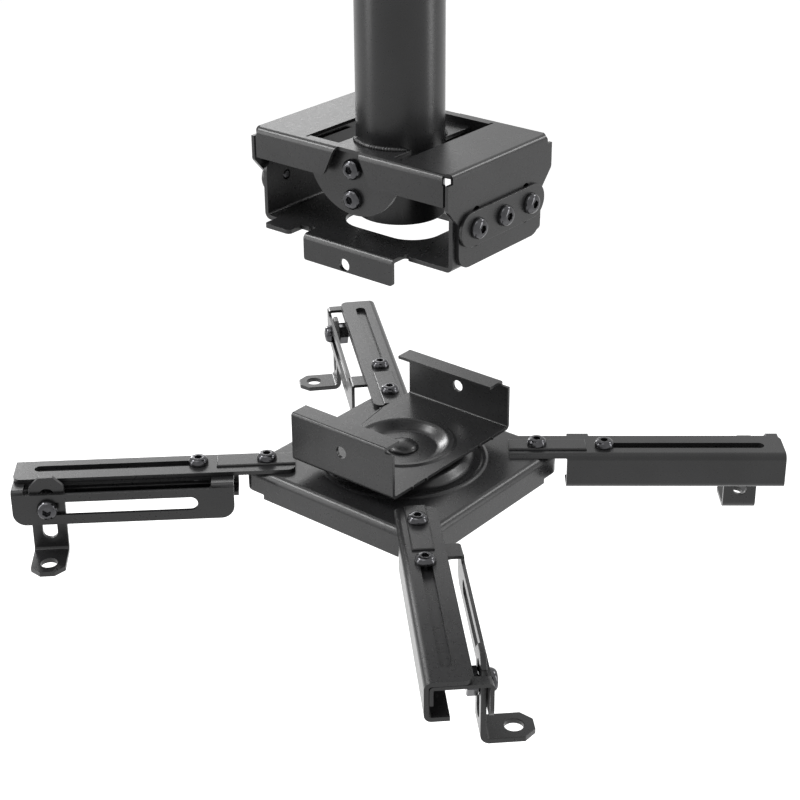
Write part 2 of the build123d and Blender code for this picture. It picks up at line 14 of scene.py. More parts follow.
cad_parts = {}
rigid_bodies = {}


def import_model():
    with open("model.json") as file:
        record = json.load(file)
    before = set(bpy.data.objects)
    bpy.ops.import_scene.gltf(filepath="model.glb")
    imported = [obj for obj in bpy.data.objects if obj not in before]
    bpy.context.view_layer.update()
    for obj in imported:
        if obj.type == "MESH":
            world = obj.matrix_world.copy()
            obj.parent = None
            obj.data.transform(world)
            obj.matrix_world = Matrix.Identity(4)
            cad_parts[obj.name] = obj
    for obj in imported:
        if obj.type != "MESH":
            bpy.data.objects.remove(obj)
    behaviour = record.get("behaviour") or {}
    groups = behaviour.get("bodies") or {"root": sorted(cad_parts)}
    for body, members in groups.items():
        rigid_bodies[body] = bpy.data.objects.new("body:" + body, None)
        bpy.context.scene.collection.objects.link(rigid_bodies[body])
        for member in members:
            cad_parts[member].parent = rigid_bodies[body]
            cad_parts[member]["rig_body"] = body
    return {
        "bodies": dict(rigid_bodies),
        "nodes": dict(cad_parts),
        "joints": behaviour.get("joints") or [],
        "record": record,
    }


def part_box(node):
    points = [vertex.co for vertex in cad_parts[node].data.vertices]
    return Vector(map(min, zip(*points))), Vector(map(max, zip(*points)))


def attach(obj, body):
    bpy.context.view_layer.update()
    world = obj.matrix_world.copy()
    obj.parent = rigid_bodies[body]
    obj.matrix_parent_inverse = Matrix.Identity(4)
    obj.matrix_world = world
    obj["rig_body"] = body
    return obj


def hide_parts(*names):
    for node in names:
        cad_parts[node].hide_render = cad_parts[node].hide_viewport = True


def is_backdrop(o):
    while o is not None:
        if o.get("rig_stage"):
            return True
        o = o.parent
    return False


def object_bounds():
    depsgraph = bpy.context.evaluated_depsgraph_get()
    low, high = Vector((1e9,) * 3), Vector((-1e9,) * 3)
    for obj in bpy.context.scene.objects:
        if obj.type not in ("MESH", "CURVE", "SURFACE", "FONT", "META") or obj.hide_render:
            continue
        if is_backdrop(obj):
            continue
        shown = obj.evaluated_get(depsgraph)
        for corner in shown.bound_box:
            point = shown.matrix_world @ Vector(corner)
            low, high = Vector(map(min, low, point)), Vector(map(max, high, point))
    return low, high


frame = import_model()

LOG = logging.getLogger("projector_mount")
MM = 0.001
UP = Vector((0, 0, 1))
ARMS = ("right", "back", "left", "front")
FLATS_WEIGHT = 80
POINT_MERGE = 0.001 * MM
Colour = tuple[float, float, float, float]
Profile = list[tuple[float, float]]


class Slot(Enum):
    """Material slots of the record that the pieces take their finish from."""

    SHEET = "powder_coat"
    FASTENER = "black_zinc"


def add_node(tree: bpy.types.NodeTree, kind: str, **inputs: object) -> bpy.types.ShaderNode:
    """Add a shader node and set its sockets.

    Args:
        tree: The material's node tree.
        kind: The node's type name.
        **inputs: Socket names, with underscores for spaces, and their values.

    Returns:
        The new node.
    """
    node = tree.nodes.new(kind)
    for name, value in inputs.items():
        node.inputs[name.replace("_", " ")].default_value = value
    return node


def new_material(name: str) -> tuple[bpy.types.Material, bpy.types.NodeTree, bpy.types.ShaderNode]:
    """Make a node material.

    Args:
        name: The material's name.

    Returns:
        The material, its tree and its principled shader.
    """
    material = bpy.data.materials.new(name)
    material.use_nodes = True
    tree = material.node_tree
    return material, tree, tree.nodes["Principled BSDF"]


def object_noise(tree: bpy.types.NodeTree, scale: float, detail: float) -> bpy.types.ShaderNode:
    """Add a noise pattern fixed to the object.

    Args:
        tree: The material's node tree.
        scale: The noise's scale per metre.
        detail: The noise's detail.

    Returns:
        The noise node.
    """
    place = tree.nodes.new("ShaderNodeTexCoord")
    noise = add_node(tree, "ShaderNodeTexNoise", Scale=scale, Detail=detail)
    tree.links.new(place.outputs["Object"], noise.inputs["Vector"])
    return noise


def spread(tree: bpy.types.NodeTree, source: bpy.types.NodeSocket, low: float, high: float) -> bpy.types.NodeSocket:
    """Map a pattern's middle range to a range of values.

    Args:
        tree: The material's node tree.
        source: The pattern's output.
        low: The value at the pattern's dark parts.
        high: The value at the pattern's light parts.

    Returns:
        The mapped output.
    """
    node = add_node(tree, "ShaderNodeMapRange", From_Min=0.3, From_Max=0.7, To_Min=low, To_Max=high)
    tree.links.new(source, node.inputs["Value"])
    return node.outputs["Result"]


def seen_by_camera(tree: bpy.types.NodeTree, lit: float, seen: float) -> bpy.types.NodeSocket:
    """Give one value to the rays that light the object and another to those that see the background.

    Args:
        tree: The node tree of the backdrop or the world.
        lit: The value for the rays that light the object.
        seen: The value for camera rays, reflections and transmission.

    Returns:
        The value's output.
    """
    path = tree.nodes.new("ShaderNodeLightPath")
    source = path.outputs["Is Camera Ray"]
    for name in ("Is Glossy Ray", "Is Transmission Ray"):
        either = tree.nodes.new("ShaderNodeMath")
        either.operation = "MAXIMUM"
        tree.links.new(source, either.inputs[0])
        tree.links.new(path.outputs[name], either.inputs[1])
        source = either.outputs["Value"]
    strength = add_node(tree, "ShaderNodeMapRange", To_Min=lit, To_Max=seen)
    tree.links.new(source, strength.inputs["Value"])
    return strength.outputs["Result"]


def spin_outline(bm: bmesh.types.BMesh, outline: Profile, steps: int, closed: bool = False) -> None:
    """Spin an outline once round the Z axis.

    Args:
        bm: The mesh that the outline and its surface are added to.
        outline: Radius and level of each point.
        steps: The number of steps of the full turn.
        closed: Whether the last point joins the first.
    """
    verts = [bm.verts.new((radius, 0, level)) for radius, level in outline]
    nexts = verts[1:] + verts[:1] if closed else verts[1:]
    edges = [bm.edges.new(pair) for pair in zip(verts, nexts)]
    bmesh.ops.spin(bm, geom=verts + edges, cent=(0, 0, 0), axis=UP, angle=math.tau, steps=steps, use_merge=True)


@dataclass(frozen=True)
class PowderCoat:
    """Satin black powder coat with a fine grain, an orange-peel surface and faint clouds of colour."""

    name: str = "powder_coat_black"
    dark: Colour = (0.0125, 0.0125, 0.013, 1.0)
    light: Colour = (0.0195, 0.0195, 0.0202, 1.0)
    smooth: float = 0.27
    rough: float = 0.31
    grain_scale: float = 2600.0
    peel_scale: float = 520.0
    cloud_scale: float = 38.0
    cloud_edges: tuple[float, float] = (0.3, 0.7)
    grain_height: float = 0.014 * MM
    grain_strength: float = 0.35
    peel_strength: float = 0.25
    specular: float = 0.42

    def build(self) -> bpy.types.Material:
        """Build the material."""
        material, tree, shader = new_material(self.name)
        cloud = object_noise(tree, self.cloud_scale, 3.0)
        colour = tree.nodes.new("ShaderNodeValToRGB")
        ramp = zip(colour.color_ramp.elements, (self.dark, self.light), self.cloud_edges)
        for element, shade, position in ramp:
            element.color = shade
            element.position = position
        tree.links.new(cloud.outputs["Fac"], colour.inputs["Fac"])
        tree.links.new(colour.outputs["Color"], shader.inputs["Base Color"])
        grain = object_noise(tree, self.grain_scale, 2.0)
        peel = object_noise(tree, self.peel_scale, 1.0)
        tree.links.new(spread(tree, peel.outputs["Fac"], self.smooth, self.rough), shader.inputs["Roughness"])
        fine = add_node(tree, "ShaderNodeBump", Strength=self.grain_strength, Distance=self.grain_height)
        broad = add_node(tree, "ShaderNodeBump", Strength=self.peel_strength, Distance=2.0 * self.grain_height)
        tree.links.new(grain.outputs["Fac"], fine.inputs["Height"])
        tree.links.new(peel.outputs["Fac"], broad.inputs["Height"])
        tree.links.new(broad.outputs["Normal"], fine.inputs["Normal"])
        tree.links.new(fine.outputs["Normal"], shader.inputs["Normal"])
        shader.inputs["Specular IOR Level"].default_value = self.specular
        return material


@dataclass(frozen=True)
class BlackZinc:
    """Bright black zinc plating of the screws and nuts."""

    name: str = "black_zinc"
    dark: Colour = (0.04, 0.04, 0.043, 1.0)
    light: Colour = (0.095, 0.095, 0.1, 1.0)
    smooth: float = 0.08
    rough: float = 0.17
    scale: float = 420.0
    mottle_height: float = 0.02 * MM
    mottle_strength: float = 0.2
    metallic: float = 0.9

    def build(self) -> bpy.types.Material:
        """Build the material."""
        material, tree, shader = new_material(self.name)
        mottle = object_noise(tree, self.scale, 4.0)
        colour = tree.nodes.new("ShaderNodeValToRGB")
        colour.color_ramp.elements[0].color = self.dark
        colour.color_ramp.elements[1].color = self.light
        tree.links.new(mottle.outputs["Fac"], colour.inputs["Fac"])
        tree.links.new(colour.outputs["Color"], shader.inputs["Base Color"])
        tree.links.new(spread(tree, mottle.outputs["Fac"], self.smooth, self.rough), shader.inputs["Roughness"])
        bump = add_node(tree, "ShaderNodeBump", Strength=self.mottle_strength, Distance=self.mottle_height)
        tree.links.new(mottle.outputs["Fac"], bump.inputs["Height"])
        tree.links.new(bump.outputs["Normal"], shader.inputs["Normal"])
        shader.inputs["Metallic"].default_value = self.metallic
        return material


@dataclass(frozen=True)
class Paper:
    """Plain pale floor that the camera and reflections see as white, with the object's shadow left on it."""

    name: str = "backdrop"
    colour: Colour = (0.86, 0.86, 0.86, 1.0)
    glow: float = 0.55
    roughness: float = 0.9

    def build(self) -> bpy.types.Material:
        """Build the material."""
        material, tree, shader = new_material(self.name)
        shader.inputs["Base Color"].default_value = self.colour
        shader.inputs["Roughness"].default_value = self.roughness
        shader.inputs["Emission Color"].default_value = (1, 1, 1, 1)
        tree.links.new(seen_by_camera(tree, 0.0, self.glow), shader.inputs["Emission Strength"])
        return material


@dataclass
class Workshop:
    """What every piece needs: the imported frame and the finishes."""

    frame: dict
    finishes: dict[Slot, bpy.types.Material] = field(default_factory=dict)

    def __post_init__(self) -> None:
        """Build the two finishes of the object."""
        self.finishes = {Slot.SHEET: PowderCoat().build(), Slot.FASTENER: BlackZinc().build()}

    def mesh_of(self, node: str) -> bpy.types.Mesh:
        """Give a CAD node's mesh."""
        return self.frame["nodes"][node].data

    def body_of(self, node: str) -> str:
        """Give the name of the body that a CAD node belongs to."""
        return self.frame["nodes"][node]["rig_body"]

    def outwards(self, arm: str) -> Vector:
        """Give the direction in which an arm extends."""
        axes = {joint["name"]: joint["axis"] for joint in self.frame["joints"]}
        return Vector(axes[f"{arm}_extend"]).normalized()

    def pivot(self, arm: str) -> Vector:
        """Give the point on the outer rail's top that an arm swings about."""
        places = {joint["name"]: joint["pos_m"] for joint in self.frame["joints"] if "pos_m" in joint}
        return Vector(places[f"{arm}_swing"])

    def place(self, name: str, bm: bmesh.types.BMesh, body: str, slot: Slot) -> bpy.types.Object:
        """Turn a finished bmesh into a piece that rides on a body.

        Args:
            name: The piece's name.
            bm: The piece's mesh in the frame; it is freed here.
            body: The body that the piece moves with.
            slot: The material slot that its finish comes from.

        Returns:
            The piece.
        """
        mesh = bpy.data.meshes.new(name)
        for face in bm.faces:
            face.smooth = True
        bm.to_mesh(mesh)
        bm.free()
        piece = bpy.data.objects.new(name, mesh)
        bpy.context.scene.collection.objects.link(piece)
        mesh.materials.append(self.finishes[slot])
        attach(piece, body)
        LOG.info("%s: %d faces on %s", name, len(mesh.polygons), body)
        return piece

    def round_edges(self, piece: bpy.types.Object, width: float, segments: int, angle: float) -> None:
        """Round a piece's sharp edges and keep its flats flat.

        Args:
            piece: The piece.
            width: The rounding's width in metres.
            segments: The rounding's number of segments.
            angle: The least angle in degrees between faces that is rounded.
        """
        bevel = piece.modifiers.new("edges", "BEVEL")
        bevel.width = width
        bevel.segments = segments
        bevel.limit_method = "ANGLE"
        bevel.angle_limit = math.radians(angle)
        flats = piece.modifiers.new("flats", "WEIGHTED_NORMAL")
        flats.mode = "FACE_AREA"
        flats.weight = FLATS_WEIGHT


@dataclass
class SheetPart:
    """A folded or drawn sheet part, with the broken edges that blanking and coating leave."""

    shop: Workshop
    node: str
    edge: float = 0.45 * MM
    merge: float = 0.002 * MM
    flat_angle: float = 0.4
    sharp_angle: float = 38.0

    def build(self) -> bpy.types.Object:
        """Build the part from its solid's surface.

        Returns:
            The piece that stands for the node.
        """
        bm = bmesh.new()
        bm.from_mesh(self.shop.mesh_of(self.node))
        bmesh.ops.remove_doubles(bm, verts=bm.verts, dist=self.merge)
        self.correct(bm)
        bmesh.ops.dissolve_limit(
            bm, angle_limit=math.radians(self.flat_angle), verts=bm.verts, edges=bm.edges, delimit={"NORMAL"}
        )
        piece = self.shop.place(f"{self.node}_coated", bm, self.shop.body_of(self.node), Slot.SHEET)
        self.shop.round_edges(piece, self.edge, 2, self.sharp_angle)
        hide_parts(self.node)
        return piece

    def correct(self, bm: bmesh.types.BMesh) -> None:
        """Leave the solid's own shape as it is; a part with a truer form changes it here."""


@dataclass(frozen=True)
class DrawnForm:
    """Round form that a press draws into a flat sheet, as steps of level from its bore outwards."""

    bore: float
    start: float
    steps: tuple[tuple[float, float, float], ...]
    reach: float
    sheet: float
    step_points: int = 8
    segments: int = 96
    depth: float = 9.0 * MM
    skin: float = 0.02 * MM

    def profile(self) -> Profile:
        """Give the form's upper line.

        Returns:
            Radius and level of each point, with every step a smooth double curve.
        """
        line = [(self.bore, self.start)]
        for begin, end, level in self.steps:
            before = line[-1][1]
            for index in range(self.step_points + 1):
                share = index / self.step_points
                blend = (1 - math.cos(share * math.pi)) / 2
                line.append((begin + (end - begin) * share, before + (level - before) * blend))
        line.append((self.reach, line[-1][1]))
        return line

    def press_into(self, bm: bmesh.types.BMesh, level: float, cut: float) -> None:
        """Swap a sheet's own round form for this smooth one.

        Args:
            bm: The sheet's mesh.
            level: The flat's upper level.
            cut: The radius within which the sheet's own faces are taken out.
        """

        def inside(vert: bmesh.types.BMVert) -> bool:
            """Tell whether a vertex belongs to the sheet's own form."""
            return math.hypot(vert.co.x, vert.co.y) < cut and abs(vert.co.z - level) < self.depth

        old = [face for face in bm.faces if all(inside(vert) for vert in face.verts)]
        bmesh.ops.delete(bm, geom=old, context="FACES")
        upper = [(radius, level + height + self.skin) for radius, height in self.profile()]
        lower = [(radius, height - self.sheet - 2 * self.skin) for radius, height in reversed(upper)]
        spin_outline(bm, upper + lower, self.segments, closed=True)
        bmesh.ops.recalc_face_normals(bm, faces=bm.faces)


@dataclass
class ReleaseChannel(SheetPart):
    """The channel, whose hooked walls run flush with its end on the locking side, with its dished floor."""

    node: str = "release_channel"
    step_back: float = 5.5 * MM
    wall_drop: float = 3.0 * MM
    nub: float = 0.9 * MM
    sheet: float = 2.0 * MM
    height: float = 31.7 * MM
    dish_radius: float = 33.05 * MM
    dish: DrawnForm = DrawnForm(
        bore=5.05 * MM,
        start=-4.0 * MM,
        steps=(
            (20.0 * MM, 29.0 * MM, 0.9 * MM),
            (30.5 * MM, 33.0 * MM, 0.0),
        ),
        reach=33.8 * MM,
        sheet=2.0 * MM,
    )

    def correct(self, bm: bmesh.types.BMesh) -> None:
        """Draw the hooked walls and their lips out to the channel's end, and press the dish.

        Args:
            bm: The channel's mesh.
        """
        low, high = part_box(self.node)
        end = low.x + self.nub
        hooks = [
            vert
            for vert in bm.verts
            if vert.co.x < end + 1.1 * self.step_back and vert.co.z > high.z - self.wall_drop - self.merge
        ]
        for vert in hooks:
            vert.co.x = end
        bmesh.ops.remove_doubles(bm, verts=bm.verts, dist=10 * self.merge)
        bmesh.ops.dissolve_degenerate(bm, dist=10 * self.merge, edges=bm.edges)
        self.dish.press_into(bm, high.z - self.height + self.sheet, self.dish_radius)


@dataclass
class HubPlate(SheetPart):
    """The hub plate with its raised boss and its bead."""

    node: str = "hub_plate"
    centre_radius: float = 54.55 * MM
    boss_rise: float = 4.4 * MM
    centre: DrawnForm = DrawnForm(
        bore=5.05 * MM,
        start=4.4 * MM,
        steps=(
            (35.5 * MM, 43.5 * MM, 0.0),
            (46.8 * MM, 49.2 * MM, 0.9 * MM),
            (49.8 * MM, 52.2 * MM, 0.0),
        ),
        reach=54.9 * MM,
        sheet=2.5 * MM,
    )

    def correct(self, bm: bmesh.types.BMesh) -> None:
        """Press the boss and the bead into the plate.

        Args:
            bm: The hub's mesh.
        """
        self.centre.press_into(bm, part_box(self.node)[1].z - self.boss_rise, self.centre_radius)


@dataclass
class InnerRail(SheetPart):
    """Inner rail, whose web runs flat out of the outer rail to the side plate."""

    arm: str = "right"
    rail_side: float = 12.75 * MM
    bend_start: float = 19.95 * MM
    bend_low: float = -2.85 * MM
    web_top: float = -2.7 * MM
    sheet: float = 2.0 * MM
    step: float = 2.3 * MM
    over_web: float = 0.35 * MM
    under_web: float = 0.05 * MM
    beside_rail: float = 0.1 * MM

    def correct(self, bm: bmesh.types.BMesh) -> None:
        """Lower the web beside the outer rail to the level that it has inside.

        Args:
            bm: The rail's mesh.
        """
        pivot, side = self.shop.pivot(self.arm), UP.cross(self.shop.outwards(self.arm))
        for vert in bm.verts:
            across = (vert.co - pivot).dot(side)
            level = vert.co.z - pivot.z
            vert.co.z = pivot.z + self.lowered(across, level)
        bmesh.ops.remove_doubles(bm, verts=bm.verts, dist=10 * self.merge)
        bmesh.ops.dissolve_degenerate(bm, dist=10 * self.merge, edges=bm.edges)

    def lowered(self, across: float, level: float) -> float:
        """Give the new height of a point of the rail's section.

        Args:
            across: The point's distance from the arm's middle, towards the side plate.
            level: The point's height over the outer rail's top.

        Returns:
            Its height in the flat web, or the same height where it lies elsewhere.
        """
        if across < self.rail_side or level < self.web_top - self.sheet:
            return level
        if across > self.bend_start:
            return level - self.step if level > self.bend_low else level
        if level > self.web_top + self.over_web:
            return self.web_top
        if level > self.web_top - self.under_web and across < self.rail_side + self.beside_rail:
            return level
        return self.web_top - self.sheet


@dataclass
class FastenerPlace:
    """Where a fastener's solid lies: its axis, which points from the tip to the head, and its ends."""

    centre: Vector
    axis: Vector
    top: float
    tip: float

    @classmethod
    def measure(cls, mesh: bpy.types.Mesh, axis: Vector) -> "FastenerPlace":
        """Measure a round fastener along its known axis.

        Args:
            mesh: The fastener's solid.
            axis: Its unit direction, from the tip to the head.

        Returns:
            The fastener's place, with the centre on the axis at the frame's origin level.
        """
        side = axis.orthogonal().normalized()
        other = axis.cross(side)
        points = [vertex.co for vertex in mesh.vertices]
        along = [point.dot(axis) for point in points]
        across = [point.dot(side) for point in points]
        beside = [point.dot(other) for point in points]
        middle = side * ((min(across) + max(across)) / 2) + other * ((min(beside) + max(beside)) / 2)
        return cls(middle, axis, max(along), min(along))

    def matrix(self, level: float, turn: float) -> Matrix:
        """Give the transform that stands a fastener on its seat.

        Args:
            level: The seat's distance along the axis.
            turn: The fastener's turn about its axis in degrees.

        Returns:
            The transform from the fastener's own frame.
        """
        rotation = self.axis.to_track_quat("Z", "Y").to_matrix().to_4x4()
        spun = rotation @ Matrix.Rotation(math.radians(turn), 4, "Z")
        return Matrix.Translation(self.centre + self.axis * level) @ spun


@dataclass
class ButtonScrew:
    """Button-head screw with a six-lobed socket and a rolled thread."""

    shop: Workshop
    node: str
    axis: Vector
    seat_depth: float = 3.35 * MM
    head_height: float = 4.0 * MM
    head: float = 6.0 * MM
    shank: float = 3.0 * MM
    pitch: float = 1.0 * MM
    thread_turns: int = 6
    socket: float = 2.4 * MM
    socket_depth: float = 2.2 * MM
    turn: float = 15.0
    steps: int = 40
    edge: float = 0.12 * MM
    edge_angle: float = 40.0
    dome_angles: tuple[float, ...] = (0, 12, 24, 36, 48, 60, 74, 90)
    socket_points: int = 24
    lobe_depth: float = 0.16
    thread_steps: int = 20

    def build(self) -> bpy.types.Object:
        """Build the screw in the place of its solid.

        Returns:
            The piece that stands for the node.
        """
        place = FastenerPlace.measure(self.shop.mesh_of(self.node), self.axis)
        seat = place.top - self.seat_depth
        length = seat - place.tip
        bm = bmesh.new()
        crown = self.spin_body(bm, length)
        self.cut_socket(bm, crown)
        self.roll_thread(bm, length)
        bmesh.ops.recalc_face_normals(bm, faces=bm.faces)
        bmesh.ops.transform(bm, matrix=place.matrix(seat, self.turn), verts=bm.verts)
        piece = self.shop.place(f"{self.node}_plated", bm, self.shop.body_of(self.node), Slot.FASTENER)
        self.shop.round_edges(piece, self.edge, 2, self.edge_angle)
        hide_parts(self.node)
        return piece

    def spin_body(self, bm: bmesh.types.BMesh, length: float) -> list[bmesh.types.BMEdge]:
        """Spin the head's dome, its seat and the shank.

        Args:
            bm: The screw's mesh.
            length: The length below the seat.

        Returns:
            The open crown's edges.
        """
        head, height = self.head, self.head_height
        core = self.shank - 0.55 * self.pitch
        threaded = min(length - 0.2 * MM, self.thread_turns * self.pitch)
        dome = [
            (head * (0.54 + 0.46 * math.cos(angle)), height * (0.14 + 0.86 * math.sin(angle)))
            for angle in map(math.radians, self.dome_angles)
        ]
        outline = [*reversed(dome), (head, 0.0), (self.shank, 0.0), (self.shank, -length + threaded)]
        outline += [(core, -length + threaded - 0.2 * MM), (core, -length + 0.4 * MM), (core * 0.8, -length)]
        spin_outline(bm, outline, self.steps)
        bmesh.ops.remove_doubles(bm, verts=bm.verts, dist=POINT_MERGE)
        tip = [edge for edge in bm.edges if edge.is_boundary and edge.verts[0].co.z < 0]
        bmesh.ops.edgeloop_fill(bm, edges=tip)
        return [edge for edge in bm.edges if edge.is_boundary]

    def cut_socket(self, bm: bmesh.types.BMesh, crown: list[bmesh.types.BMEdge]) -> None:
        """Close the crown round a six-lobed socket.

        Args:
            bm: The screw's mesh.
            crown: The open crown's edges.
        """
        level = crown[0].verts[0].co.z
        lobes = bmesh.ops.create_circle(bm, cap_ends=False, radius=self.socket, segments=self.socket_points)["verts"]
        for index, vert in enumerate(lobes):
            reach = 1.0 - self.lobe_depth * (1.0 - math.cos(index * math.tau / 4)) / 2
            vert.co = Vector((vert.co.x * reach, vert.co.y * reach, level))
        rim = list(dict.fromkeys(edge for vert in lobes for edge in vert.link_edges))
        bmesh.ops.bridge_loops(bm, edges=crown + rim)
        wall = bmesh.ops.extrude_edge_only(bm, edges=rim)["geom"]
        floor = [item for item in wall if isinstance(item, bmesh.types.BMVert)]
        bmesh.ops.translate(bm, verts=floor, vec=(0, 0, -self.socket_depth))
        edges = [item for item in wall if isinstance(item, bmesh.types.BMEdge) and item.is_boundary]
        bmesh.ops.edgeloop_fill(bm, edges=edges)

    def roll_thread(self, bm: bmesh.types.BMesh, length: float) -> None:
        """Spin the thread's ridge up the shank's end.

        Args:
            bm: The screw's mesh.
            length: The length below the seat.
        """
        core = self.shank - 0.62 * self.pitch
        start = -length + 0.3 * MM
        turns = min(self.thread_turns - 1, int((length - 1.0 * MM) / self.pitch))
        profile = [(core, start), (self.shank, start + 0.42 * self.pitch), (core, start + 0.84 * self.pitch)]
        verts = [bm.verts.new((radius, 0, level)) for radius, level in profile]
        edges = [bm.edges.new((verts[index], verts[(index + 1) % 3])) for index in range(3)]
        ends = bmesh.ops.spin(
            bm,
            geom=verts + edges,
            cent=(0, 0, 0),
            axis=UP,
            dvec=(0, 0, self.pitch / self.thread_steps),
            angle=turns * math.tau,
            steps=turns * self.thread_steps,
        )["geom_last"]
        bmesh.ops.edgeloop_fill(bm, edges=edges)
        bmesh.ops.edgeloop_fill(bm, edges=[item for item in ends if isinstance(item, bmesh.types.BMEdge)])


@dataclass
class HexNut:
    """Hexagon nut with chamfered corners and an open bore round the screw."""

    shop: Workshop
    node: str
    axis: Vector
    flats: float = 10.0 * MM
    bore: float = 3.1 * MM
    chamfer: float = 0.7 * MM
    seat_gap: float = 0.08 * MM
    edge: float = 0.15 * MM
    edge_angle: float = 25.0
    bore_points: int = 24

    def build(self) -> bpy.types.Object:
        """Build the nut in the place of its solid.

        Returns:
            The piece that stands for the node.
        """
        mesh = self.shop.mesh_of(self.node)
        place = FastenerPlace.measure(mesh, self.axis)
        turn = self.corner_turn(mesh, place)
        height = place.top - place.tip - self.seat_gap
        corner = self.flats / math.sqrt(3)
        bm = bmesh.new()
        slope = self.chamfer * 0.6
        levels = (0.0, slope, height - slope, height)
        radii = (corner - self.chamfer, corner, corner, corner - self.chamfer)
        outer = [self.ring(bm, 6, radius, level) for radius, level in zip(radii, levels)]
        inner = [self.ring(bm, self.bore_points, self.bore, level) for level in (levels[-1], levels[0])]
        loops = outer + inner
        for first, second in zip(loops, loops[1:] + loops[:1]):
            bmesh.ops.bridge_loops(bm, edges=first + second)
        bmesh.ops.recalc_face_normals(bm, faces=bm.faces)
        bmesh.ops.transform(bm, matrix=place.matrix(place.tip, turn), verts=bm.verts)
        piece = self.shop.place(f"{self.node}_plated", bm, self.shop.body_of(self.node), Slot.FASTENER)
        self.shop.round_edges(piece, self.edge, 2, self.edge_angle)
        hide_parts(self.node)
        return piece

    def corner_turn(self, mesh: bpy.types.Mesh, place: FastenerPlace) -> float:
        """Find how far the solid's corners are turned about its axis.

        Args:
            mesh: The nut's solid.
            place: The nut's place.

        Returns:
            The turn in degrees.
        """
        inverse = place.matrix(0.0, 0.0).inverted()
        points = [inverse @ vertex.co for vertex in mesh.vertices]
        corner = max(points, key=lambda point: math.hypot(point.x, point.y))
        return math.degrees(math.atan2(corner.y, corner.x))

    def ring(self, bm: bmesh.types.BMesh, segments: int, radius: float, level: float) -> list[bmesh.types.BMEdge]:
        """Add one ring of the nut.

        Args:
            bm: The nut's mesh.
            segments: The ring's number of sides.
            radius: The ring's corner radius.
            level: The ring's height.

        Returns:
            The ring's edges.
        """
        verts = bmesh.ops.create_circle(bm, cap_ends=False, radius=radius, segments=segments)["verts"]
        first = verts[0].co
        start = math.atan2(first.y, first.x)
        bmesh.ops.rotate(bm, verts=verts, cent=(0, 0, 0), matrix=Matrix.Rotation(-start, 3, "Z"))
        bmesh.ops.translate(bm, verts=verts, vec=(0, 0, level))
        return list(dict.fromkeys(edge for vert in verts for edge in vert.link_edges))


@dataclass
class WeldBead:
    """Rippled weld bead that joins an ear's flange to the pole, under the coat."""

    shop: Workshop
    ear: str
    side: float
    radius: float = 1.7 * MM
    half_angle: float = 47.0
    ripple: float = 0.13
    ripples: int = 26
    wander: float = 17.0
    steps: int = 104
    round_points: int = 12

    def build(self) -> bpy.types.Object:
        """Build the bead along the corner of the pole and the flange.

        Returns:
            The bead.
        """
        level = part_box(self.ear)[1].z + 0.2 * self.radius
        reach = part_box("pole")[1].x + 0.3 * self.radius
        bm = bmesh.new()
        ring = bmesh.ops.create_circle(bm, cap_ends=False, radius=self.radius, segments=self.round_points)["verts"]
        bmesh.ops.rotate(bm, verts=ring, cent=(0, 0, 0), matrix=Matrix.Rotation(math.pi / 2, 3, "X"))
        bmesh.ops.translate(bm, verts=ring, vec=(reach, 0, level))
        bmesh.ops.rotate(bm, verts=ring, cent=(0, 0, 0), matrix=Matrix.Rotation(self.start(), 3, "Z"))
        rim = list(bm.edges)
        end = bmesh.ops.spin(
            bm, geom=ring + rim, cent=(0, 0, 0), axis=UP, angle=math.radians(2 * self.half_angle), steps=self.steps
        )["geom_last"]
        bmesh.ops.edgeloop_fill(bm, edges=rim)
        bmesh.ops.edgeloop_fill(bm, edges=[item for item in end if isinstance(item, bmesh.types.BMEdge)])
        self.shape(bm, reach, level)
        bmesh.ops.recalc_face_normals(bm, faces=bm.faces)
        return self.shop.place(f"{self.ear}_weld", bm, self.shop.body_of(self.ear), Slot.SHEET)

    def start(self) -> float:
        """Give the angle at which the bead starts."""
        return math.radians(90.0 * self.side - self.half_angle)

    def shape(self, bm: bmesh.types.BMesh, reach: float, level: float) -> None:
        """Give the spun bead its ripples and run its ends out.

        Args:
            bm: The bead's mesh.
            reach: The radius of the bead's centre line.
            level: The height of the bead's centre line.
        """
        for vert in bm.verts:
            turn = (math.atan2(vert.co.y, vert.co.x) - self.start()) % math.tau
            share = turn / math.radians(2 * self.half_angle)
            taper = math.sqrt(max(0.05, 1.0 - abs(2 * share - 1) ** 6))
            wave = math.sin(share * self.ripples * math.tau) * math.cos(share * self.wander)
            swell = taper * (1.0 + self.ripple * wave)
            heading = Vector((vert.co.x, vert.co.y, 0)).normalized()
            centre = heading * reach + UP * level
            vert.co = centre + (vert.co - centre) * swell


@dataclass
class Head:
    """The pole, the shell, the cradle and their fasteners."""

    shop: Workshop
    sheets: tuple[str, ...] = (
        "pole",
        "pole_ear_front",
        "pole_ear_rear",
        "top_shell",
        "cradle",
        "tilt_doubler_right",
        "tilt_doubler_left",
    )

    def build(self) -> None:
        """Build the head's pieces."""
        for node in self.sheets:
            SheetPart(self.shop, node).build()
        for end, side in (("front", -1.0), ("rear", 1.0)):
            WeldBead(self.shop, f"pole_ear_{end}", side).build()
            axis = Vector((0, side, 0))
            for kind, turn in (("pivot", 10.0), ("clamp", 33.0)):
                ButtonScrew(self.shop, f"roll_{kind}_screw_{end}", axis, turn=turn).build()
                HexNut(self.shop, f"roll_{kind}_nut_{end}", axis).build()
        for name, side in (("right", 1.0), ("left", -1.0)):
            for number, place in enumerate(("front", "middle", "rear")):
                node = f"tilt_screw_{name}_{place}"
                ButtonScrew(self.shop, node, Vector((side, 0, 0)), turn=7.0 + 23.0 * number, thread_turns=4).build()


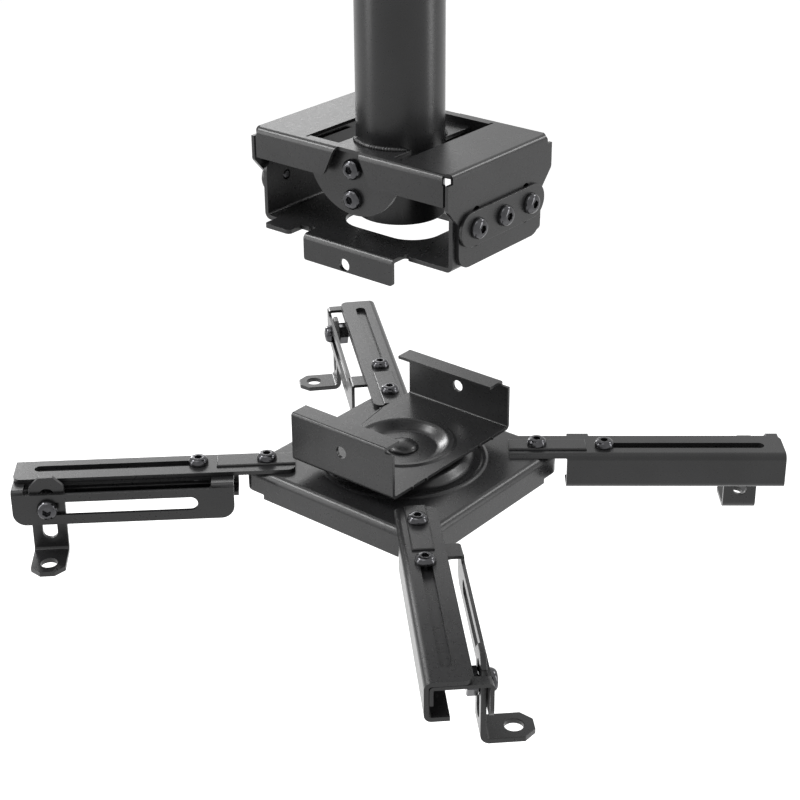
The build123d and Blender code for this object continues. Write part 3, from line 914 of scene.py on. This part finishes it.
@dataclass
class Spider:
    """The release channel, the hub and the four arms."""

    shop: Workshop
    leg_screw_seat: float = 4.3 * MM
    leg_screw_head: float = 6.2 * MM
    leg_screw_shank: float = 4.0 * MM
    leg_nut_flats: float = 13.0 * MM
    rivet_head: float = 9.6 * MM
    rivet_head_height: float = 4.2 * MM
    rivet_tail: float = 8.0 * MM
    rivet_tail_height: float = 3.0 * MM
    rivet_shank: float = 5.0 * MM
    rivet_steps: int = 64
    dome_step: float = 9.0
    dome_points: int = 11

    def build(self) -> None:
        """Build the spider's pieces."""
        ReleaseChannel(self.shop).build()
        HubPlate(self.shop).build()
        self.build_rivet()
        for number, arm in enumerate(ARMS):
            self.build_arm(arm, number)

    def build_rivet(self) -> bpy.types.Object:
        """Spin the swivel rivet with its smooth domes; the coat covers it, whatever its slot.

        Returns:
            The rivet.
        """
        node = "swivel_rivet"
        low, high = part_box(node)
        domes = (
            (high.z, self.rivet_head, self.rivet_head_height, 1.0),
            (low.z, self.rivet_tail, self.rivet_tail_height, -1.0),
        )
        line: Profile = []
        for tip, radius, height, way in domes:
            angles = [math.radians(90 - step * self.dome_step) for step in range(self.dome_points)]
            arc = [(radius * math.cos(angle), tip - way * height * (1 - math.sin(angle))) for angle in angles]
            arc[0] = (0.0, tip)
            arc.append((self.rivet_shank, tip - way * height))
            line += arc if way > 0 else arc[::-1]
        bm = bmesh.new()
        spin_outline(bm, line, self.rivet_steps)
        bmesh.ops.remove_doubles(bm, verts=bm.verts, dist=POINT_MERGE)
        bmesh.ops.recalc_face_normals(bm, faces=bm.faces)
        rivet = self.shop.place(f"{node}_domed", bm, self.shop.body_of(node), Slot.FASTENER)
        rivet.data.materials[0] = self.shop.finishes[Slot.SHEET]
        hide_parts(node)
        return rivet

    def build_arm(self, arm: str, number: int) -> None:
        """Build one arm's rails, leg and fasteners.

        Args:
            arm: The arm's name.
            number: The arm's place in the order, which turns its sockets.
        """
        for part in ("outer_rail", "leg"):
            SheetPart(self.shop, f"{arm}_{part}").build()
        InnerRail(self.shop, f"{arm}_inner_rail", arm=arm).build()
        for kind in ("pivot", "slide"):
            turn = 11.0 + 17.0 * number + (8.0 if kind == "slide" else 0.0)
            ButtonScrew(self.shop, f"{arm}_{kind}_screw", UP, turn=turn).build()
            HexNut(self.shop, f"{arm}_{kind}_nut", UP).build()
        sideways = UP.cross(self.shop.outwards(arm))
        ButtonScrew(
            self.shop,
            f"{arm}_leg_screw",
            sideways,
            seat_depth=self.leg_screw_seat,
            head_height=self.leg_screw_seat,
            head=self.leg_screw_head,
            shank=self.leg_screw_shank,
            pitch=1.25 * MM,
            thread_turns=5,
            socket=2.7 * MM,
            socket_depth=2.6 * MM,
            turn=20.0 + 9.0 * number,
        ).build()
        HexNut(
            self.shop,
            f"{arm}_leg_nut",
            sideways,
            flats=self.leg_nut_flats,
            bore=self.leg_screw_shank + 0.1 * MM,
            chamfer=0.9 * MM,
        ).build()


@dataclass(frozen=True)
class Lamp:
    """Soft rectangular lamp that looks at the mount's middle."""

    name: str
    around: float
    rise: float
    distance: float
    width: float
    height: float
    power: float

    def hang(self, target: Vector) -> None:
        """Hang the lamp.

        Args:
            target: The point that the lamp looks at.
        """
        turn, tilt = math.radians(self.around), math.radians(self.rise)
        way = Vector((math.cos(turn) * math.cos(tilt), math.sin(turn) * math.cos(tilt), math.sin(tilt)))
        data = bpy.data.lights.new(self.name, "AREA")
        data.shape = "RECTANGLE"
        data.size = self.width
        data.size_y = self.height
        data.energy = self.power
        lamp = bpy.data.objects.new(self.name, data)
        facing = way.to_track_quat("Z", "Y").to_matrix().to_4x4()
        lamp.matrix_world = Matrix.Translation(target + way * self.distance) @ facing
        bpy.context.scene.collection.objects.link(lamp)


@dataclass
class Studio:
    """Pale floor, soft lamps and the camera at the photograph's angle."""

    position: Vector = field(default_factory=lambda: Vector((0.58156, -0.71035, 0.21637)))
    yaw: float = 39.373
    pitch: float = 24.202
    roll: float = -0.435
    focal_pixels: float = 1722.27
    frame_pixels: float = 800.0
    axis_row: float = 320.0
    floor_drop: float = 0.55
    floor_size: float = 14.0
    lit_strength: float = 0.5
    target: Vector = field(default_factory=lambda: Vector((0, 0, -0.2)))
    lamps: tuple[Lamp, ...] = (
        Lamp("left_box", -134.0, 14.0, 1.5, 0.4, 1.2, 7.0),
        Lamp("right_box", 33.0, 8.0, 1.5, 0.35, 1.1, 6.0),
        Lamp("back_box", 145.0, 23.0, 1.7, 0.9, 0.4, 2.9),
        Lamp("top_box", -110.0, 70.0, 1.6, 1.0, 1.0, 5.0),
        Lamp("front_fold_box", -151.0, 46.0, 1.5, 0.45, 0.35, 8.0),
        Lamp("side_fold_box", 66.0, 38.0, 1.5, 0.4, 0.35, 4.0),
        Lamp("rail_fold_box", 158.0, 9.0, 1.5, 0.25, 0.4, 4.5),
    )

    def build(self) -> None:
        """Build the camera, the floor, the lamps and the world."""
        self.add_camera()
        self.add_floor()
        for lamp in self.lamps:
            lamp.hang(self.target)
        self.add_world()

    def add_camera(self) -> None:
        """Stand the camera where the photograph was taken."""
        yaw, pitch, roll = (math.radians(angle) for angle in (self.yaw, self.pitch, self.roll))
        ahead = Vector((-math.sin(yaw) * math.cos(pitch), math.cos(yaw) * math.cos(pitch), -math.sin(pitch)))
        level = Vector((math.cos(yaw), math.sin(yaw), 0))
        above = level.cross(ahead)
        right = level * math.cos(roll) + above * math.sin(roll)
        top = above * math.cos(roll) - level * math.sin(roll)
        camera = bpy.data.objects.new("camera", bpy.data.cameras.new("camera"))
        camera.matrix_world = Matrix.Translation(self.position) @ Matrix((right, top, -ahead)).transposed().to_4x4()
        camera.data.sensor_width = 36.0
        camera.data.lens = self.focal_pixels * camera.data.sensor_width / self.frame_pixels
        camera.data.shift_y = (self.axis_row - self.frame_pixels / 2) / self.frame_pixels
        camera.data.clip_start = 0.01
        bpy.context.scene.collection.objects.link(camera)
        bpy.context.scene.camera = camera

    def add_floor(self) -> None:
        """Lay the pale floor well below the hanging mount."""
        bm = bmesh.new()
        bmesh.ops.create_grid(bm, x_segments=1, y_segments=1, size=self.floor_size / 2)
        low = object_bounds()[0][2] - self.floor_drop
        bmesh.ops.translate(bm, verts=bm.verts, vec=(0, 0, low))
        mesh = bpy.data.meshes.new("floor")
        bm.to_mesh(mesh)
        bm.free()
        floor = bpy.data.objects.new("floor", mesh)
        bpy.context.scene.collection.objects.link(floor)
        mesh.materials.append(Paper().build())
        floor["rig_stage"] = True

    def add_world(self) -> None:
        """Make the world white to the camera and reflections, and dimmer as a light."""
        world = bpy.data.worlds.new("studio")
        world.use_nodes = True
        tree = world.node_tree
        background = tree.nodes["Background"]
        background.inputs["Color"].default_value = (1, 1, 1, 1)
        tree.links.new(seen_by_camera(tree, self.lit_strength, 1.0), background.inputs["Strength"])
        bpy.context.scene.world = world


def main() -> None:
    """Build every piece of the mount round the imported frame."""
    logging.basicConfig(level=logging.INFO, format="%(name)s: %(message)s")
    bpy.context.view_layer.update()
    bpy.context.scene.view_settings.view_transform = "Standard"
    shop = Workshop(frame)
    for assembly in (Head(shop), Spider(shop), Studio()):
        assembly.build()
        LOG.info("%s is done", type(assembly).__name__)


if __name__ == "__main__":
    main()
